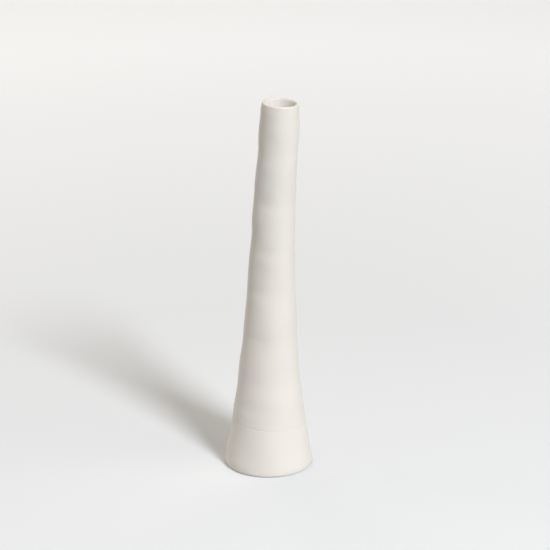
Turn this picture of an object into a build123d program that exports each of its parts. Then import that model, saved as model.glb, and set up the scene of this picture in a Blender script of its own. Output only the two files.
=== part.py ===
from build123d import *
from math import atan, degrees, pi, radians, sin, tan
import os

# A tall stem vase of glazed clay, narrow at the mouth and flared at the foot, leaning to +X as it rises.
# It stands on the plane z = 0 with the centre of its foot at the origin. Sizes are in millimetres and degrees.

# Overall outline, measured on the glazed surface
HEIGHT = 299.2
FOOT_DIAMETER = 70.5
MOUTH_DIAMETER = 28.8
NECK_TAPER = 5.3
FLARE_POWER = 3.45
LEAN = 9.4
LEAN_POWER = 2.0

# Clay wall, thicker at the foot than at the lip, and the glass skin on both sides of it
FOOT_WALL = 4.0
LIP_WALL = 1.8
GLAZE = 0.4

# Courses of clay, laid one on another with bevelled edges
COURSE_COUNT = 8
LEVELS_PER_COURSE = 4
FOOT_COURSE_HEIGHT = 37.5
COURSE_SWELL = 0.4
JOINT_BEVEL = 35.0
FOOT_JOINT_TILT = 3.0

# Floor slab, let into the foot course and held clear of the table by the foot ring
FLOOR_THICKNESS = 4.0
FLOOR_SEAT = 1.0
FOOT_RECESS = 1.5
FOOT_BEVEL = 0.8
GLAZE_LINE = 2.0

flare = (FOOT_DIAMETER - MOUTH_DIAMETER) / 2 - NECK_TAPER
lip_radius = LIP_WALL / 2
lip_height = HEIGHT - GLAZE - lip_radius
course_height = (lip_height - FOOT_COURSE_HEIGHT) / (COURSE_COUNT - 1)
joint_heights = [FOOT_COURSE_HEIGHT + index * course_height for index in range(COURSE_COUNT - 1)]
floor_top = FOOT_RECESS + FLOOR_THICKNESS


def lean(height):
    """Sideways place of the axis, upright to the top of the floor and then bending away more and more."""
    rise = max(height - floor_top, 0)
    return LEAN * (rise / (HEIGHT - floor_top)) ** LEAN_POWER


def lean_slope(height):
    """Sideways run of the axis for each millimetre of rise."""
    rise = max(height - floor_top, 0)
    return LEAN_POWER * LEAN * rise ** (LEAN_POWER - 1) / (HEIGHT - floor_top) ** LEAN_POWER


def swell(height):
    """Fullness of a course between its two pinched joints."""
    if height < FOOT_COURSE_HEIGHT:
        place = height / FOOT_COURSE_HEIGHT
    else:
        place = (height - FOOT_COURSE_HEIGHT) / course_height
    return COURSE_SWELL * sin(pi * place) ** 2


def glazed_radius(height):
    """Outside radius of the glazed wall: a straight taper with a flare that grows towards the foot."""
    drop = 1 - height / HEIGHT
    return MOUTH_DIAMETER / 2 + NECK_TAPER * drop + flare * drop ** FLARE_POWER + swell(height)


def clay_radius(height):
    """Outside radius of the bare clay."""
    return glazed_radius(height) - GLAZE


def cavity_radius(height):
    """Inside radius of the bare clay."""
    wall = FOOT_WALL + (LIP_WALL - FOOT_WALL) * height / lip_height
    return clay_radius(height) - wall


def liner_radius(height):
    """Inside radius of the glass skin in the cavity."""
    return cavity_radius(height) - GLAZE


def section_plane(height, extra_slope=0.0):
    """Plane square to the leaning axis at a height."""
    slope = lean_slope(height) + extra_slope
    return Plane(origin=(lean(height), 0, height), x_dir=(1, 0, -slope), z_dir=(slope, 0, 1))


def profile_plane(level):
    """Upright plane through the axis: across it first, then along it."""
    return Plane(origin=level.origin, x_dir=level.x_dir, z_dir=-level.y_dir)


def joint_slope(index):
    """Extra tilt of a joint against the axis. Only the lowest joint was laid out of square."""
    return tan(radians(FOOT_JOINT_TILT)) if index == 0 else 0.0


# Levels at which the wall is drawn, spaced evenly up each course from the foot to the lip
course_ends = [0.0] + joint_heights + [lip_height]
outside_levels = [0.0]
for low, high in zip(course_ends, course_ends[1:]):
    outside_levels += [low + (high - low) * (step + 1) / LEVELS_PER_COURSE for step in range(LEVELS_PER_COURSE)]
upper_levels = [height for height in outside_levels if height > floor_top + GLAZE]
cavity_levels = [floor_top] + upper_levels
liner_levels = [floor_top + GLAZE] + upper_levels

lip_level = section_plane(lip_height)
lip_axis = Axis(lip_level.origin, lip_level.z_dir)
lip_centre = clay_radius(lip_height) - lip_radius
floor_radius = cavity_radius(floor_top) + FLOOR_SEAT

# Whole clay wall: the outside, the cavity, the seat of the floor, the bevelled foot and the rounded lip
with BuildPart() as wall:
    for height in outside_levels:
        with BuildSketch(section_plane(height)):
            Circle(clay_radius(height))
    loft()
    for height in cavity_levels:
        with BuildSketch(section_plane(height)):
            Circle(cavity_radius(height))
    loft(mode=Mode.SUBTRACT)
    foot_edge = wall.edges().group_by(Axis.Z)[0].sort_by(SortBy.LENGTH)[-1]
    chamfer(foot_edge, FOOT_BEVEL)
    with BuildSketch():
        Circle(floor_radius)
    extrude(amount=floor_top, mode=Mode.SUBTRACT)
    with BuildSketch(profile_plane(lip_level)):
        with BuildLine():
            ThreePointArc((lip_centre + lip_radius, 0), (lip_centre, lip_radius), (lip_centre - lip_radius, 0))
            Line((lip_centre - lip_radius, 0), (lip_centre + lip_radius, 0))
        make_face()
    revolve(axis=lip_axis)

# Space above each bevelled joint, which rises towards the inside of the wall
above_joints = []
for index, height in enumerate(joint_heights):
    level = section_plane(height, joint_slope(index))
    rise = tan(radians(JOINT_BEVEL))
    joint_radius = clay_radius(height)
    reach = FOOT_DIAMETER
    with BuildPart() as above_joint:
        with BuildSketch(profile_plane(level)):
            Polygon(
                (0, rise * joint_radius),
                (reach, rise * (joint_radius - reach)),
                (reach, HEIGHT),
                (0, HEIGHT),
                align=None,
            )
        revolve(axis=Axis(level.origin, level.z_dir))
    above_joints.append(above_joint.part)

os.makedirs("parts", exist_ok=True)

# Courses of the wall, from the foot to the rim
wall_names = [f"wall_course_{number}" for number in range(1, COURSE_COUNT - 1)]
course_names = ["foot_course"] + wall_names + ["rim_course"]
for index, name in enumerate(course_names):
    with BuildPart() as course:
        add(wall.part)
        if index > 0:
            add(above_joints[index - 1], mode=Mode.INTERSECT)
        if index < len(above_joints):
            add(above_joints[index], mode=Mode.SUBTRACT)
    course.part.label = name
    export_step(course.part, f"parts/{name}.step")

# Floor slab
with BuildPart() as floor_disc:
    with BuildSketch(Plane.XY.offset(FOOT_RECESS)):
        Circle(floor_radius)
    extrude(amount=FLOOR_THICKNESS)
floor_disc.part.label = "floor_disc"
export_step(floor_disc.part, "parts/floor_disc.step")

# Glass skin on the outside, from above the bare foot to the inner edge of the lip
with BuildPart() as outer_glaze:
    for height in outside_levels:
        with BuildSketch(section_plane(height)):
            Circle(glazed_radius(height))
    loft()
    for height in outside_levels:
        with BuildSketch(section_plane(height)):
            Circle(clay_radius(height))
    loft(mode=Mode.SUBTRACT)
    split(bisect_by=Plane.XY.offset(GLAZE_LINE), keep=Keep.TOP)
    skin_radius = lip_radius + GLAZE
    with BuildSketch(profile_plane(lip_level)):
        with BuildLine():
            ThreePointArc((lip_centre + skin_radius, 0), (lip_centre, skin_radius), (lip_centre - skin_radius, 0))
            Line((lip_centre - skin_radius, 0), (lip_centre - lip_radius, 0))
            ThreePointArc((lip_centre - lip_radius, 0), (lip_centre, lip_radius), (lip_centre + lip_radius, 0))
            Line((lip_centre + lip_radius, 0), (lip_centre + skin_radius, 0))
        make_face()
    revolve(axis=lip_axis)
outer_glaze.part.label = "outer_glaze"
export_step(outer_glaze.part, "parts/outer_glaze.step")

# Glass skin inside, over the floor and up the wall to the lip
with BuildPart() as liner_glaze:
    for height in cavity_levels:
        with BuildSketch(section_plane(height)):
            Circle(cavity_radius(height))
    loft()
    for height in liner_levels:
        with BuildSketch(section_plane(height)):
            Circle(liner_radius(height))
    loft(mode=Mode.SUBTRACT)
liner_glaze.part.label = "liner_glaze"
export_step(liner_glaze.part, "parts/liner_glaze.step")

lip_tilt = degrees(atan(lean_slope(lip_height)))
print(f"lip leans {lean(lip_height):.1f} mm and tilts {lip_tilt:.1f} degrees")
print(f"mouth opening {2 * liner_radius(lip_height):.1f} mm, floor {2 * floor_radius:.1f} mm across")
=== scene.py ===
"""A hand-built stem vase with a wide flared foot, a leaning neck and a small round mouth.

The clay is eight joined courses on a floor disc. One white glaze covers the outside and runs over the lip,
another lines the inside, and a narrow line of bare clay is left at the foot.
"""

import logging
import math
import random
from dataclasses import dataclass, field
from enum import Enum

import bpy
import numpy as np
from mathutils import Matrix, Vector


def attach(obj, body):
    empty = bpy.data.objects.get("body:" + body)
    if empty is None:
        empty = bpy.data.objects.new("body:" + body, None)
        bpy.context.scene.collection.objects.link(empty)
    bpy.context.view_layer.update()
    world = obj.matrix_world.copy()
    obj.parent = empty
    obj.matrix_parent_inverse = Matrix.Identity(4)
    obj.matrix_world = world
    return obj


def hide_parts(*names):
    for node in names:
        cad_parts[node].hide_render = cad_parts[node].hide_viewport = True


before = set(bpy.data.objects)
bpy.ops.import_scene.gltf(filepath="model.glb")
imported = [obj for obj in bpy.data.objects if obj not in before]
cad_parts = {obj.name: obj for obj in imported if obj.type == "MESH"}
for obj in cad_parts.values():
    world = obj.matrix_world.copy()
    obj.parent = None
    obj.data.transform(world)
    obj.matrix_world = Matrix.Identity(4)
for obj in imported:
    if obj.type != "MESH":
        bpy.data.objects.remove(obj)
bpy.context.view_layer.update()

LOG = logging.getLogger("stem_vase")
MM = 0.001
FULL_TURN = 2.0 * math.pi
QUARTER_TURN = math.pi / 2
OPAQUE = 1.0
BODY = "root"
# Per-point share of the darker glaze colour: thin glaze at the seam and wiped edge, and painted shade on
# the top of the lip.
THIN_AND_SHADE_VALUE = "glaze_darkening"
DENT_TALL = 3.8 * MM
DENT_WIDE = math.radians(24.0)
SHARP_EDGE = math.radians(50.0)
Colour = tuple[float, float, float]
# Painted light: the liner is a paler copy of the outer glaze, lightening the shaded inside of the bore.
LINER_PAINTED_LIGHT_WHITE: Colour = (0.87, 0.835, 0.79)
KEY_WHITE: Colour = (0.905, 0.95, 1.0)


class GlazeCoat(Enum):
    """The two glaze coats, each named as its node is."""

    OUTER = "outer_glaze"
    LINER = "liner_glaze"


class Side(Enum):
    """Where round the wall a mark sits, in degrees from the right-hand side, seen from above."""

    RIGHT = 0.0
    FRONT_RIGHT = -62.0
    FRONT_LEFT = -107.0
    LEFT_FRONT = -127.0
    LEFT = 180.0

    def angle(self) -> float:
        """The side's turn in radians."""
        return math.radians(self.value)


def turn_from(middle: Side, turns: np.ndarray) -> np.ndarray:
    """The shortest turn from one side to each angle, in radians."""
    return (turns - middle.angle() + math.pi) % FULL_TURN - math.pi


def bell(away: np.ndarray) -> np.ndarray:
    """A soft hump: 1 in the middle and almost nothing three widths away."""
    return np.exp(-0.5 * away**2)


@dataclass(frozen=True)
class VaseForm:
    """The vase's lines: round sections along a leaning axis, in metres."""

    height: float = 299.2 * MM
    foot_diameter: float = 70.5 * MM
    mouth_diameter: float = 28.8 * MM
    neck_taper: float = 5.3 * MM
    flare_power: float = 3.45
    lean: float = 9.4 * MM
    lean_power: float = 2.0
    foot_wall: float = 4.0 * MM
    lip_wall: float = 1.8 * MM
    glaze: float = 0.4 * MM
    course_count: int = 8
    foot_course_height: float = 37.5 * MM
    course_swell: float = 0.4 * MM
    foot_joint_tilt: float = math.radians(3.0)
    floor_top: float = 5.5 * MM
    glaze_line: float = 0.9 * MM
    foot_reach: float = 34.8 * MM

    @property
    def lip_radius(self) -> float:
        """Radius of the clay lip's rounded edge."""
        return self.lip_wall / 2

    @property
    def lip_height(self) -> float:
        """Height on the axis where the lip begins to round over."""
        return self.height - self.glaze - self.lip_radius

    @property
    def course_height(self) -> float:
        """Height of each course above the foot course."""
        return (self.lip_height - self.foot_course_height) / (self.course_count - 1)

    @property
    def joint_heights(self) -> list[float]:
        """Heights of the joints between the courses, from the foot up."""
        return [self.foot_course_height + i * self.course_height for i in range(self.course_count - 1)]

    def rise(self, height: np.ndarray) -> np.ndarray:
        """Share of the way up from the floor to the mouth."""
        return np.maximum(height - self.floor_top, 0.0) / (self.height - self.floor_top)

    def axis_offset(self, height: np.ndarray) -> np.ndarray:
        """Sideways place of the axis at each height."""
        return self.lean * self.rise(height) ** self.lean_power

    def axis_slope(self, height: np.ndarray) -> np.ndarray:
        """Sideways travel of the axis for each metre of height."""
        travel = self.lean * self.lean_power * self.rise(height) ** (self.lean_power - 1.0)
        return travel / (self.height - self.floor_top)

    def swell(self, height: np.ndarray) -> np.ndarray:
        """How far each course bellies out between its joints.

        Args:
            height: Heights along the axis.

        Returns:
            Outward travel at each height.
        """
        in_foot = height / self.foot_course_height
        above = (height - self.foot_course_height) / self.course_height
        place = np.where(height < self.foot_course_height, in_foot, above)
        return self.course_swell * np.sin(math.pi * place) ** 2

    def glazed_radius(self, height: np.ndarray) -> np.ndarray:
        """Outside radius of the glazed wall: a straight neck taper and a flare towards the foot.

        Args:
            height: Heights along the axis.

        Returns:
            The radius at each height.
        """
        below = 1.0 - height / self.height
        flare = (self.foot_diameter - self.mouth_diameter) / 2 - self.neck_taper
        smooth = self.mouth_diameter / 2 + self.neck_taper * below + flare * below**self.flare_power
        return smooth + self.swell(height)

    def face_radius(self, height: np.ndarray, out: np.ndarray) -> np.ndarray:
        """Outside radius of the uneven glaze, which thins to its wiped edge at the foot."""
        return np.minimum(self.glazed_radius(height) + out, self.foot_reach)

    def clay_radius(self, height: np.ndarray) -> np.ndarray:
        """Outside radius of the clay under the glaze."""
        return self.glazed_radius(height) - self.glaze

    @property
    def edge_glaze(self) -> float:
        """Thickness of the glaze at its wiped edge."""
        return self.foot_reach - float(self.clay_radius(np.array(self.glaze_line)))

    def cavity_radius(self, height: np.ndarray) -> np.ndarray:
        """Inside radius of the clay wall, which thins from foot to lip."""
        wall = self.foot_wall + (self.lip_wall - self.foot_wall) * height / self.lip_height
        return self.clay_radius(height) - wall

    def liner_radius(self, height: np.ndarray) -> np.ndarray:
        """Inside radius of the glazed bore."""
        return self.cavity_radius(height) - self.glaze

    def ring(self, height: float, radii: np.ndarray, turns: np.ndarray, lift: np.ndarray) -> np.ndarray:
        """Points of one section, square to the leaning axis.

        Args:
            height: Height of the section's middle.
            radii: Radius at each turn.
            turns: Angles round the axis, in radians.
            lift: Travel along the axis at each turn.

        Returns:
            One row of coordinates for each turn.
        """
        slope = float(self.axis_slope(np.array(height)))
        unit = 1.0 / math.hypot(1.0, slope)
        across = radii * np.cos(turns)
        x = float(self.axis_offset(np.array(height))) + (across + slope * lift) * unit
        y = radii * np.sin(turns)
        z = height + (lift - slope * across) * unit
        return np.stack(np.broadcast_arrays(x, y, z), axis=1)


@dataclass(frozen=True)
class Mark:
    """One soft dent or swelling that a hand left in the wall."""

    side: Side
    height: float
    swell: float
    tall: float = 6.0 * MM
    wide: float = math.radians(34.0)

    def relief(self, heights: np.ndarray, turns: np.ndarray) -> np.ndarray:
        """How far the wall stands out here.

        Args:
            heights: Heights, as a column.
            turns: Angles round the axis, as a row.

        Returns:
            Outward travel at each height and turn.
        """
        away = turn_from(self.side, turns) / self.wide
        up = (heights - self.height) / self.tall
        return self.swell * bell(up) * bell(away)


def left_marks() -> list[Mark]:
    """Marks that show in the left-hand outline, as swell by height in millimetres.

    Returns:
        The marks, from the top down.
    """
    upper = {288: -0.35, 258: -0.30, 206: 0.25, 183: 0.22, 150: 0.22, 139: -0.40}
    lower = {100: -0.42, 62: -0.45, 46: 0.20, 25: -0.35}
    return [Mark(Side.LEFT, height * MM, swell * MM) for height, swell in (upper | lower).items()]


def right_marks() -> list[Mark]:
    """Marks that show in the right-hand outline, as swell by height in millimetres.

    Returns:
        The marks, from the top down.
    """
    upper = {276: 0.30, 244: -0.40, 222: -0.25, 203: -0.45, 184: -0.40, 165: -0.45}
    lower = {117: 0.10, 100: -0.35, 84: -0.40, 68: -0.30, 50: -0.25, 14: -0.40}
    return [Mark(Side.RIGHT, height * MM, swell * MM) for height, swell in (upper | lower).items()]


def front_marks() -> list[Mark]:
    """Dents that a thumb pressed into the front left of the wall, as depth by height in millimetres.

    Returns:
        The marks of each side, from the top down.
    """
    front = {271.0: 0.30, 220.0: 0.36, 181.6: 0.40, 75.6: 0.10}
    left = {241.0: 0.30, 149.0: 0.55, 108.0: 0.40, 53.5: 0.55}
    return [
        Mark(side, height * MM, -depth * MM, DENT_TALL, DENT_WIDE)
        for side, depths in ((Side.FRONT_LEFT, front), (Side.LEFT_FRONT, left))
        for height, depth in depths.items()
    ]


@dataclass
class HandMarks:
    """The unevenness of a wall pinched and smoothed by hand, with glaze pooled along its joints."""

    form: VaseForm
    seed: int
    marks: list[Mark] = field(default_factory=list)
    pinch_depth: float = 0.11 * MM
    pinch_tall: float = 4.6 * MM
    pinch_wander: tuple[float, float] = (1.5 * MM, 4.0 * MM)
    press_lobes: tuple[tuple[int, float], ...] = ((2, 0.6), (3, 0.5))
    slow_depth: float = 0.10 * MM
    slow_count: int = 7
    slow_length: tuple[float, float] = (28.0 * MM, 80.0 * MM)
    slow_lobes: tuple[int, ...] = (1, 2, 2, 3, 4)
    slow_share: tuple[float, float] = (0.4, 1.0)
    proud: float = 0.22 * MM
    joint_fill: float = 0.6
    deepest: float = 0.20 * MM
    foot_fade: float = 6.0 * MM
    lip_fade: float = 5.0 * MM

    def relief(self, heights: np.ndarray, turns: np.ndarray) -> np.ndarray:
        """How far the wall stands out from its even form.

        Args:
            heights: Heights along the axis.
            turns: Angles round the axis.

        Returns:
            Outward travel, a row for each height.
        """
        column = heights[:, None]
        row = turns[None, :]
        rng = random.Random(self.seed)
        travel = self.proud + self._slow(column, row, rng) - self._pinches(column, row, rng)
        travel = travel + self.joint_fill * (self.form.course_swell - self.form.swell(column))
        for mark in self.marks:
            travel = travel + mark.relief(column, row)
        travel = np.where(travel < 0.0, self.deepest * np.tanh(travel / self.deepest), travel)
        return travel * self._fade(column)

    def _slow(self, column: np.ndarray, row: np.ndarray, rng: random.Random) -> np.ndarray:
        """Long shallow waves left by coiling and smoothing.

        Args:
            column: Heights, as a column.
            row: Angles round the axis, as a row.
            rng: Source of the wall's chance marks.

        Returns:
            Outward travel at each height and turn.
        """
        waves = np.zeros(np.broadcast_shapes(column.shape, row.shape))
        for _ in range(self.slow_count):
            length = rng.uniform(*self.slow_length)
            lobes = rng.choice(self.slow_lobes)
            start = rng.uniform(0.0, FULL_TURN)
            twist = rng.choice((-1.0, 1.0))
            depth = self.slow_depth * rng.uniform(*self.slow_share)
            waves = waves + depth * np.sin(FULL_TURN * column / length + twist * lobes * row + start)
        return waves

    def _pinches(self, column: np.ndarray, row: np.ndarray, rng: random.Random) -> np.ndarray:
        """Waists pressed in along the joints, deeper in some places than in others.

        Args:
            column: Heights, as a column.
            row: Angles round the axis, as a row.
            rng: Source of the wall's chance marks.

        Returns:
            Inward travel at each height and turn.
        """
        waists = np.zeros(np.broadcast_shapes(column.shape, row.shape))
        for joint in self.form.joint_heights:
            wander = rng.uniform(*self.pinch_wander) * np.sin(row + rng.uniform(0.0, FULL_TURN))
            press = np.ones(row.shape)
            for lobes, strength in self.press_lobes:
                press = press + strength * np.sin(lobes * row + rng.uniform(0.0, FULL_TURN))
            up = (column - joint - wander) / self.pinch_tall
            waists = waists + self.pinch_depth * np.maximum(press, 0.0) * bell(up)
        return waists

    def _fade(self, column: np.ndarray) -> np.ndarray:
        """Brings the relief smoothly to nothing at the foot's edge and at the lip.

        Args:
            column: Heights, as a column.

        Returns:
            Share of the relief that is left at each height.
        """
        from_foot = np.clip((column - self.form.glaze_line) / self.foot_fade, 0.0, 1.0)
        from_lip = np.clip((self.form.lip_height - column) / self.lip_fade, 0.0, 1.0)
        near = np.minimum(from_foot, from_lip)
        return near * near * (3.0 - 2.0 * near)


@dataclass
class FootSeam:
    """The fine line where the lowest course was joined on, a little lower at the right."""

    form: VaseForm
    depth: float = 0.13 * MM
    half_width: float = 0.38 * MM
    faint_share: float = 0.75
    faint_wide: float = math.radians(16.0)

    def strength(self, heights: np.ndarray, turns: np.ndarray) -> np.ndarray:
        """How strongly the line shows, from 0 to 1.

        Args:
            heights: Heights along the axis.
            turns: Angles round the axis.

        Returns:
            A row for each height.
        """
        column = heights[:, None]
        row = turns[None, :]
        across = self.form.glazed_radius(column) * np.cos(row)
        line = self.form.foot_course_height - math.tan(self.form.foot_joint_tilt) * across
        faint = self.faint_share * bell(turn_from(Side.FRONT_RIGHT, row) / self.faint_wide)
        return (1.0 - faint) * bell((column - line) / self.half_width)

    def relief(self, heights: np.ndarray, turns: np.ndarray) -> np.ndarray:
        """The line's groove, as outward travel."""
        return -self.depth * self.strength(heights, turns)


@dataclass(frozen=True)
class GlazeFinish:
    """A warm white satin glaze, faintly mottled, darker where it thins at the seam and the wiped edge, with
    painted shade on the top of the lip.
    """

    name: str
    colour: Colour = (0.857, 0.805, 0.742)
    # Darker colour for glaze thinned at the seam and wiped edge, also used as painted shade on the top of
    # the lip.
    thin_and_shade_colour: Colour = (0.66, 0.62, 0.562)
    mottle: float = 0.024
    roughness: float = 0.35
    roughness_range: float = 0.06
    shine: float = 0.35
    peel_size: float = 2.6 * MM
    peel_height: float = 0.02 * MM
    cloud_size: float = 30.0 * MM
    cloud_detail: float = 1.5
    cloud_rough: float = 0.4
    peel_detail: float = 2.0
    peel_rough: float = 0.5

    def build(self) -> bpy.types.Material:
        """Makes the material.

        Returns:
            A glaze that reads the mesh's thin value.
        """
        material = bpy.data.materials.new(self.name)
        sheet = NodeSheet.start(material)
        place = sheet.add("ShaderNodeTexCoord").outputs["Object"]
        cloud = sheet.noise(place, 1.0 / self.cloud_size, self.cloud_detail, self.cloud_rough)
        peel = sheet.noise(place, 1.0 / self.peel_size, self.peel_detail, self.peel_rough)
        # This value darkens the colour: thin glaze at the seam and wiped edge, painted shade on the lip's
        # top.
        glaze_darkening = sheet.add("ShaderNodeAttribute", attribute_name=THIN_AND_SHADE_VALUE).outputs["Fac"]
        base = sheet.mix(glaze_darkening, self.colour, self.thin_and_shade_colour)
        shade = sheet.ranged(cloud, 1.0 - self.mottle, 1.0 + self.mottle)
        sheet.link(sheet.scaled(base, shade), sheet.shader.inputs["Base Color"])
        low, high = self.roughness - self.roughness_range, self.roughness + self.roughness_range
        sheet.link(sheet.ranged(cloud, low, high), sheet.shader.inputs["Roughness"])
        sheet.shader.inputs["Specular IOR Level"].default_value = self.shine
        sheet.bump(peel, self.peel_height)
        return material


@dataclass(frozen=True)
class ClayFinish:
    """Bare fired clay: dry, fine-grained and a shade greyer than the glaze."""

    name: str
    colour: Colour = (0.80, 0.775, 0.73)
    grain_colour: Colour = (0.70, 0.66, 0.60)
    grain_share: float = 0.35
    roughness: float = 0.85
    grain_size: float = 0.7 * MM
    grain_height: float = 0.04 * MM
    grain_detail: float = 5.0
    grain_rough: float = 0.65
    grain_start: float = 0.25
    grain_end: float = 0.75

    def build(self) -> bpy.types.Material:
        """Makes the material.

        Returns:
            A grainy, matt clay.
        """
        material = bpy.data.materials.new(self.name)
        sheet = NodeSheet.start(material)
        place = sheet.add("ShaderNodeTexCoord").outputs["Object"]
        grain = sheet.noise(place, 1.0 / self.grain_size, self.grain_detail, self.grain_rough)
        share = sheet.ranged(grain, 0.0, self.grain_share, self.grain_start, self.grain_end)
        sheet.link(sheet.mix(share, self.colour, self.grain_colour), sheet.shader.inputs["Base Color"])
        sheet.shader.inputs["Roughness"].default_value = self.roughness
        sheet.bump(grain, self.grain_height)
        return material


@dataclass(frozen=True)
class FloorFinish:
    """A matt, pale studio floor, brighter far off, that throws most light back close round the foot."""

    name: str
    colour: Colour = (0.812, 0.812, 0.828)
    glow: float = 0.21
    glow_colour: Colour = (1.0, 1.0, 1.0)
    glow_near: float = 0.35
    glow_far: float = 1.25
    bounce_colour: Colour = (0.53, 0.53, 0.53)
    spill_colour: Colour = (0.16, 0.16, 0.16)
    bounce_near: float = 0.2
    bounce_far: float = 0.6
    roughness: float = 0.9

    def build(self) -> bpy.types.Material:
        """Makes the material.

        Returns:
            A floor that glows a little away from the vase.
        """
        material = bpy.data.materials.new(self.name)
        sheet = NodeSheet.start(material)
        place = sheet.add("ShaderNodeTexCoord").outputs["Object"]
        length = sheet.add("ShaderNodeVectorMath", operation="LENGTH")
        sheet.link(place, length.inputs[0])
        reach = length.outputs["Value"]
        rays = sheet.seen_rays()
        spread = sheet.ranged(reach, 0.0, 1.0, self.bounce_near, self.bounce_far)
        bounce = sheet.mix(spread, self.bounce_colour, self.spill_colour)
        sheet.link(sheet.mix(rays, bounce, self.colour), sheet.shader.inputs["Base Color"])
        glow = sheet.add("ShaderNodeMath", operation="MULTIPLY")
        sheet.link(rays, glow.inputs[0])
        sheet.link(sheet.ranged(reach, 0.0, self.glow, self.glow_near, self.glow_far), glow.inputs[1])
        sheet.link(glow.outputs["Value"], sheet.shader.inputs["Emission Strength"])
        sheet.shader.inputs["Emission Color"].default_value = (*self.glow_colour, OPAQUE)
        sheet.shader.inputs["Roughness"].default_value = self.roughness
        return material


@dataclass
class NodeSheet:
    """The nodes of one material or surround, and the few ways in which they are joined."""

    tree: bpy.types.NodeTree
    shader: bpy.types.Node

    @classmethod
    def start(cls, owner: bpy.types.Material | bpy.types.World) -> "NodeSheet":
        """Opens a new material's or surround's nodes.

        Args:
            owner: The material or surround.

        Returns:
            A sheet with the main shader.
        """
        owner.use_nodes = True
        main_shader = "Principled BSDF" if isinstance(owner, bpy.types.Material) else "Background"
        return cls(owner.node_tree, owner.node_tree.nodes[main_shader])

    def add(self, kind: str, **settings: object) -> bpy.types.Node:
        """Adds one node and sets its options.

        Args:
            kind: The node's type.
            **settings: Options to set on it.

        Returns:
            The new node.
        """
        node = self.tree.nodes.new(kind)
        for option, value in settings.items():
            setattr(node, option, value)
        return node

    def link(self, source: bpy.types.NodeSocket, target: bpy.types.NodeSocket) -> None:
        """Joins an output to an input."""
        self.tree.links.new(source, target)

    def noise(
        self,
        place: bpy.types.NodeSocket,
        scale: float,
        detail: float,
        rough: float,
    ) -> bpy.types.NodeSocket:
        """Adds a noise texture.

        Args:
            place: Coordinates to read.
            scale: Features to the metre.
            detail: Finer layers.
            rough: Strength of the finer layers.

        Returns:
            The noise, from 0 to 1.
        """
        node = self.add("ShaderNodeTexNoise")
        node.inputs["Scale"].default_value = scale
        node.inputs["Detail"].default_value = detail
        node.inputs["Roughness"].default_value = rough
        self.link(place, node.inputs["Vector"])
        return node.outputs["Fac"]

    def ranged(
        self,
        value: bpy.types.NodeSocket,
        low: float,
        high: float,
        start: float = 0.0,
        end: float = 1.0,
    ) -> bpy.types.NodeSocket:
        """Stretches part of a value's own range to another range.

        Args:
            value: A noise from 0 to 1, or another value.
            low: Result at the start.
            high: Result at the end.
            start: Value that gives the low result.
            end: Value that gives the high result.

        Returns:
            The stretched value.
        """
        node = self.add("ShaderNodeMapRange")
        node.inputs["From Min"].default_value = start
        node.inputs["From Max"].default_value = end
        node.inputs["To Min"].default_value = low
        node.inputs["To Max"].default_value = high
        self.link(value, node.inputs["Value"])
        return node.outputs["Result"]

    def mix(
        self,
        share: bpy.types.NodeSocket,
        first: Colour | bpy.types.NodeSocket,
        second: Colour | bpy.types.NodeSocket,
    ) -> bpy.types.NodeSocket:
        """Mixes two colours, each a plain colour or another node's.

        Args:
            share: How much of the second colour shows.
            first: Colour at 0.
            second: Colour at 1.

        Returns:
            The mixed colour.
        """
        node = self.add("ShaderNodeMix", data_type="RGBA")
        sockets = {socket.identifier: socket for socket in node.inputs}
        self.link(share, sockets["Factor_Float"])
        for name, colour in (("A_Color", first), ("B_Color", second)):
            if isinstance(colour, bpy.types.NodeSocket):
                self.link(colour, sockets[name])
            else:
                sockets[name].default_value = (*colour, OPAQUE)
        return next(socket for socket in node.outputs if socket.identifier == "Result_Color")

    def seen_rays(self) -> bpy.types.NodeSocket:
        """Picks out what is seen, straight or in a gloss, from what only lights the vase.

        Returns:
            1 for rays of sight and 0 for soft light.
        """
        path = self.add("ShaderNodeLightPath")
        rays = path.outputs["Is Camera Ray"]
        for kind in ("Is Glossy Ray", "Is Transmission Ray"):
            either = self.add("ShaderNodeMath", operation="MAXIMUM")
            self.link(rays, either.inputs[0])
            self.link(path.outputs[kind], either.inputs[1])
            rays = either.outputs["Value"]
        return rays

    def scaled(self, colour: bpy.types.NodeSocket, shade: bpy.types.NodeSocket) -> bpy.types.NodeSocket:
        """Makes a colour lighter or darker.

        Args:
            colour: The colour.
            shade: What it is multiplied by.

        Returns:
            The shaded colour.
        """
        node = self.add("ShaderNodeVectorMath", operation="SCALE")
        self.link(colour, node.inputs["Vector"])
        self.link(shade, node.inputs["Scale"])
        return node.outputs["Vector"]

    def bump(self, height: bpy.types.NodeSocket, depth: float) -> None:
        """Gives the shader a fine bump.

        Args:
            height: The bump's height, from 0 to 1.
            depth: How deep it is, in metres.
        """
        node = self.add("ShaderNodeBump")
        node.inputs["Strength"].default_value = 1.0
        node.inputs["Distance"].default_value = depth
        self.link(height, node.inputs["Height"])
        self.link(node.outputs["Normal"], self.shader.inputs["Normal"])


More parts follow.
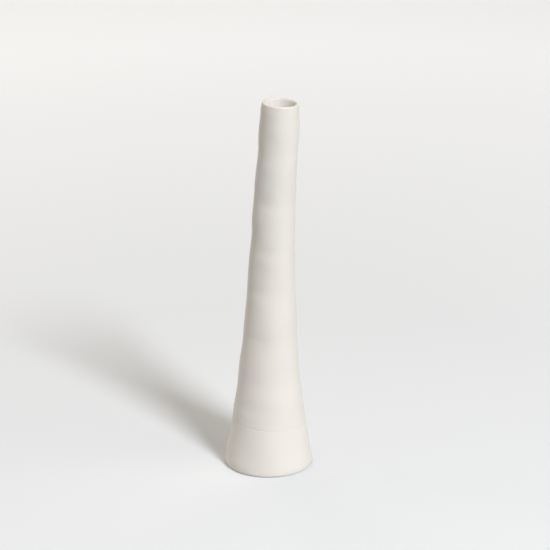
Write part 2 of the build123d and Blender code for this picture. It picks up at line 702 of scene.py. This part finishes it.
def skin_mesh(name: str, rings: list[np.ndarray], poles: bool) -> bpy.types.Object:
    """Skins a row of rings into one closed mesh.

    Args:
        name: The piece's name.
        rings: Rows of points, all with as many points. With poles, the first and last are single points.
        poles: True for a cup's skin, which starts and ends at a point on the axis and faces inwards first.
            False for a sleeve's, which faces outwards first and whose last ring joins its first.

    Returns:
        The new object, smooth shaded and in the scene.
    """
    columns = max(len(ring) for ring in rings)
    starts = np.cumsum([0] + [len(ring) for ring in rings])
    around = np.arange(columns)
    after = (around + 1) % columns
    faces: list[list[int]] = []
    pairs = len(rings) - 1 if poles else len(rings)
    for i in range(pairs):
        first, second = starts[i], starts[(i + 1) % len(rings)]
        if poles and i == 0:
            quads = np.stack([np.full(columns, first), second + around, second + after], axis=1)
        elif poles and i == pairs - 1:
            quads = np.stack([first + after, first + around, np.full(columns, second)], axis=1)
        elif poles:
            quads = np.stack([first + after, first + around, second + around, second + after], axis=1)
        else:
            quads = np.stack([first + around, first + after, second + after, second + around], axis=1)
        faces.extend(quads.tolist())
    mesh = bpy.data.meshes.new(name)
    mesh.from_pydata(np.concatenate(rings).tolist(), [], faces)
    mesh.validate()
    mesh.shade_smooth()
    mesh.set_sharp_from_angle(angle=SHARP_EDGE)
    piece = bpy.data.objects.new(name, mesh)
    bpy.context.scene.collection.objects.link(piece)
    return piece


def add_value(piece: bpy.types.Object, name: str, values: np.ndarray) -> None:
    """Stores one number for each point of a piece, for its finish to read."""
    layer = piece.data.attributes.new(name, "FLOAT", "POINT")
    layer.data.foreach_set("value", values.astype(np.float32))


def dress(piece: bpy.types.Object, material: bpy.types.Material) -> None:
    """Gives a piece one material in place of any that it has."""
    piece.data.materials.clear()
    piece.data.materials.append(material)


@dataclass
class OuterGlaze:
    """The white coat on the outside, over the lip and down to its wiped edge at the foot."""

    form: VaseForm
    hand: HandMarks
    seam: FootSeam
    finish: GlazeFinish
    columns: int = 192
    row_step: float = 1.0 * MM
    seam_low: float = 34.5 * MM
    seam_high: float = 40.5 * MM
    seam_step: float = 0.2 * MM
    back_step: float = 6.0 * MM
    lip_steps: int = 18
    edge_steps: int = 5
    seam_thin: float = 0.17
    # Painted shade that darkens the top and inner side of the lip's round.
    lip_painted_shade: float = 1.0
    crest_share: float = 0.4

    def heights(self) -> np.ndarray:
        """Heights of the face's rows, close together along the seam.

        Returns:
            The heights, from the wiped edge up to the lip.
        """
        low = self.form.glaze_line + self.form.edge_glaze
        below = np.arange(low, self.seam_low, self.row_step)
        along = np.arange(self.seam_low, self.seam_high, self.seam_step)
        above = np.arange(self.seam_high, self.form.lip_height - self.row_step / 2, self.row_step)
        return np.concatenate([below, along, above, [self.form.lip_height]])

    def build(self) -> bpy.types.Object:
        """Makes the coat and dresses it.

        Returns:
            The finished piece.
        """
        turns = np.arange(self.columns) * FULL_TURN / self.columns
        flat = np.zeros(self.columns)
        heights = self.heights()
        travel = self.hand.relief(heights, turns) + self.seam.relief(heights, turns)
        glaze_darkening = self.seam.strength(heights, turns)
        rings: list[np.ndarray] = []
        thin_and_shade_rows: list[np.ndarray] = []
        self._wiped_edge(rings, thin_and_shade_rows, turns)
        for height, out, bare in zip(heights, travel, glaze_darkening):
            rings.append(self.form.ring(height, self.form.face_radius(height, out), turns, flat))
            thin_and_shade_rows.append(self.seam_thin * bare)
        self._lip(rings, thin_and_shade_rows, turns, self.form.lip_radius + self.form.glaze, 0.0, math.pi)
        self._lip(rings, thin_and_shade_rows, turns, self.form.lip_radius, math.pi, 0.0)
        count = round((self.form.lip_height - self.form.glaze_line) / self.back_step)
        for height in np.linspace(self.form.lip_height, self.form.glaze_line, count)[1:]:
            back = np.full(self.columns, self.form.clay_radius(height))
            rings.append(self.form.ring(height, back, turns, flat))
            thin_and_shade_rows.append(flat)
        piece = skin_mesh(GlazeCoat.OUTER.value + "_coat", rings, poles=False)
        add_value(piece, THIN_AND_SHADE_VALUE, np.concatenate(thin_and_shade_rows))
        dress(piece, self.finish.build())
        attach(piece, BODY)
        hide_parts(GlazeCoat.OUTER.value)
        return piece

    def _wiped_edge(self, rings: list[np.ndarray], thin_and_shade_rows: list[np.ndarray], turns: np.ndarray) -> None:
        """Adds the rounded lower edge, from the clay out to the face.

        Args:
            rings: Rows so far.
            thin_and_shade_rows: Glaze thinness, and painted shade on the lip, for each row so far.
            turns: Angles round the axis.
        """
        edge = self.form.edge_glaze
        height = self.form.glaze_line + edge
        for step in range(1, self.edge_steps):
            angle = QUARTER_TURN * step / self.edge_steps
            drop = -edge * math.cos(angle)
            radius = self.form.clay_radius(height + drop) + edge * math.sin(angle)
            flat = np.full(self.columns, radius)
            rings.append(self.form.ring(height + drop, flat, turns, np.zeros(self.columns)))
            thin_and_shade_rows.append(np.full(self.columns, math.cos(angle)))

    def _lip(
        self,
        rings: list[np.ndarray],
        thin_and_shade_rows: list[np.ndarray],
        turns: np.ndarray,
        round_radius: float,
        first: float,
        last: float,
    ) -> None:
        """Adds the half round over the lip.

        Args:
            rings: Rows so far.
            thin_and_shade_rows: Glaze thinness, and painted shade on the lip, for each row so far.
            turns: Angles round the axis.
            round_radius: Radius of the half round.
            first: Angle at which it starts, from the outer face.
            last: Angle at which it ends.
        """
        height = self.form.lip_height
        centre = float(self.form.clay_radius(height)) - self.form.lip_radius
        start = 1 if first < last else 0
        for step in range(start, self.lip_steps + 1):
            angle = first + (last - first) * step / self.lip_steps
            radius = np.full(self.columns, centre + round_radius * math.cos(angle))
            lift = np.full(self.columns, round_radius * math.sin(angle))
            rings.append(self.form.ring(height, radius, turns, lift))
            # Painted shade: the lip's round is darkened most on its top and inner side.
            inward = self.crest_share + (1.0 - self.crest_share) * math.sin(angle / 2) ** 2
            thin_and_shade_rows.append(np.full(self.columns, self.lip_painted_shade * math.sin(angle) * inward))


@dataclass
class LinerGlaze:
    """The white coat inside, from the lip down the bore and across the floor."""

    form: VaseForm
    hand: HandMarks
    finish: GlazeFinish
    columns: int = 128
    row_step: float = 1.5 * MM
    back_step: float = 6.0 * MM
    corner_radius: float = 3.0 * MM
    corner_steps: int = 6
    floor_rings: int = 8

    def build(self) -> bpy.types.Object:
        """Makes the coat and dresses it.

        Returns:
            The finished piece.
        """
        turns = np.arange(self.columns) * FULL_TURN / self.columns
        floor = self.form.floor_top + self.form.glaze
        wall_foot = floor + self.corner_radius
        count = round((self.form.lip_height - wall_foot) / self.row_step)
        heights = np.linspace(wall_foot, self.form.lip_height, count)
        travel = self.hand.relief(heights, turns)
        corner_middle = float(self.form.liner_radius(wall_foot)) - self.corner_radius
        rings = [np.array([[0.0, 0.0, floor]])]
        for step in range(1, self.floor_rings + 1):
            rings.append(self._even(floor, corner_middle * step / self.floor_rings, turns))
        for step in range(1, self.corner_steps):
            angle = QUARTER_TURN * step / self.corner_steps
            height = wall_foot - self.corner_radius * math.cos(angle)
            rings.append(self._even(height, corner_middle + self.corner_radius * math.sin(angle), turns))
        for height, out in zip(heights, travel):
            radii = self.form.liner_radius(height) - out
            rings.append(self.form.ring(height, radii, turns, np.zeros(self.columns)))
        count = round((self.form.lip_height - self.form.floor_top) / self.back_step)
        for height in np.linspace(self.form.lip_height, self.form.floor_top, count):
            rings.append(self._even(height, float(self.form.cavity_radius(height)), turns))
        rings.append(np.array([[0.0, 0.0, self.form.floor_top]]))
        piece = skin_mesh(GlazeCoat.LINER.value + "_coat", rings, poles=True)
        add_value(piece, THIN_AND_SHADE_VALUE, np.zeros(len(piece.data.vertices)))
        dress(piece, self.finish.build())
        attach(piece, BODY)
        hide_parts(GlazeCoat.LINER.value)
        return piece

    def _even(self, height: float, radius: float, turns: np.ndarray) -> np.ndarray:
        """One even ring."""
        return self.form.ring(height, np.full(self.columns, radius), turns, np.zeros(self.columns))


@dataclass
class ClayBody:
    """The floor disc and the joined courses, bare under the glaze and along the foot."""

    finish: ClayFinish

    def build(self) -> list[bpy.types.Object]:
        """Dresses the clay pieces.

        Returns:
            The pieces, in name order.
        """
        material = self.finish.build()
        coats = {coat.value for coat in GlazeCoat}
        pieces = [node for name, node in sorted(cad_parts.items()) if name not in coats]
        for piece in pieces:
            dress(piece, material)
        return pieces


@dataclass(frozen=True)
class Softbox:
    """One soft lamp, placed by its direction from the vase: degrees round from the front, and up."""

    name: str
    turn: float
    rise: float
    watts: float
    distance: float = 3.0
    size: float = 3.0
    colour: Colour = (1.0, 0.955, 0.865)

    def build(self, target: Vector) -> bpy.types.Object:
        """Hangs the lamp and turns it to the vase.

        Args:
            target: The point that it faces.

        Returns:
            The lamp.
        """
        light = bpy.data.lights.new(self.name, "AREA")
        light.shape = "DISK"
        light.size = self.size
        light.energy = self.watts
        light.color = self.colour
        lamp = bpy.data.objects.new(self.name, light)
        turn, rise = math.radians(self.turn), math.radians(self.rise)
        flat = math.cos(rise)
        away = Vector((math.sin(turn) * flat, -math.cos(turn) * flat, math.sin(rise)))
        lamp.location = target + away * self.distance
        lamp.rotation_euler = away.to_track_quat("Z", "Y").to_euler()
        bpy.context.scene.collection.objects.link(lamp)
        return lamp


@dataclass
class Studio:
    """A pale floor, soft lamps, a dim even surround and the camera."""

    floor_finish: FloorFinish
    floor_size: float = 14.0
    target_height: float = 120.0 * MM
    surround: Colour = (0.005, 0.005, 0.005)
    backdrop: Colour = (0.88, 0.88, 0.88)
    camera_place: tuple[float, float, float] = (5.08 * MM, -2023.1 * MM, 899.1 * MM)
    camera_tilt: float = math.radians(69.89)
    camera_lens: float = 180.0
    camera_sensor: float = 36.0

    def lamps(self) -> list[Softbox]:
        """The lamps: a cool key at the front right, and wide, weak, warmer ones all round.

        Returns:
            The lamps, with their directions in degrees.
        """
        return [
            Softbox(
                "key_lamp",
                turn=33.0,
                rise=42.0,
                watts=102.0,
                distance=3.5,
                size=0.875,
                colour=KEY_WHITE,
            ),
            Softbox("front_right_lamp", turn=67.0, rise=28.0, watts=25.0),
            Softbox("front_left_lamp", turn=-45.0, rise=45.0, watts=11.8),
            Softbox("left_lamp", turn=-90.0, rise=30.0, watts=14.8),
            Softbox("back_left_lamp", turn=-135.0, rise=45.0, watts=21.3),
            Softbox("back_lamp", turn=180.0, rise=45.0, watts=19.2),
        ]

    def build(self) -> list[bpy.types.Object]:
        """Sets up the studio.

        Returns:
            The floor, the lamps and the camera.
        """
        bpy.context.scene.view_settings.view_transform = "Standard"
        self._world()
        target = Vector((0.0, 0.0, self.target_height))
        lamps = [lamp.build(target) for lamp in self.lamps()]
        return [self._floor(), *lamps, self._camera()]

    def _floor(self) -> bpy.types.Object:
        """Lays the floor.

        Returns:
            The floor, named as part of the studio.
        """
        half = self.floor_size / 2
        corners = [(-half, -half, 0.0), (half, -half, 0.0), (half, half, 0.0), (-half, half, 0.0)]
        mesh = bpy.data.meshes.new("studio_floor")
        mesh.from_pydata(corners, [], [(0, 1, 2, 3)])
        floor = bpy.data.objects.new("studio_floor", mesh)
        bpy.context.scene.collection.objects.link(floor)
        dress(floor, self.floor_finish.build())
        return floor

    def _world(self) -> None:
        """Lights the room dimly, and shows a pale backdrop where the floor ends."""
        world = bpy.data.worlds.new("studio")
        sheet = NodeSheet.start(world)
        sheet.link(sheet.mix(sheet.seen_rays(), self.surround, self.backdrop), sheet.shader.inputs["Color"])
        bpy.context.scene.world = world

    def _camera(self) -> bpy.types.Object:
        """Sets the camera.

        Returns:
            The camera, in use by the scene.
        """
        lens = bpy.data.cameras.new("camera")
        lens.lens = self.camera_lens
        lens.sensor_width = self.camera_sensor
        camera = bpy.data.objects.new("camera", lens)
        camera.location = self.camera_place
        camera.rotation_euler = (self.camera_tilt, 0.0, 0.0)
        bpy.context.scene.collection.objects.link(camera)
        bpy.context.scene.camera = camera
        return camera


def main() -> None:
    """Builds the vase's pieces and the studio in order, and reports each."""
    logging.basicConfig(level=logging.INFO, format="%(message)s")
    form = VaseForm()
    outside = HandMarks(form, seed=11, marks=left_marks() + right_marks() + front_marks())
    inside = HandMarks(form, seed=23, proud=0.0, joint_fill=0.0)
    outer = OuterGlaze(form, outside, FootSeam(form), GlazeFinish("outer_white_glaze"))
    liner = LinerGlaze(form, inside, GlazeFinish("liner_white_glaze", colour=LINER_PAINTED_LIGHT_WHITE))
    clay = ClayBody(ClayFinish("bare_clay"))
    studio = Studio(FloorFinish("studio_floor_paint"))
    pieces = [outer.build(), liner.build(), *clay.build(), *studio.build()]
    for piece in pieces:
        LOG.info("%s: %s", piece.name, piece.type.lower())


if __name__ == "__main__":
    main()
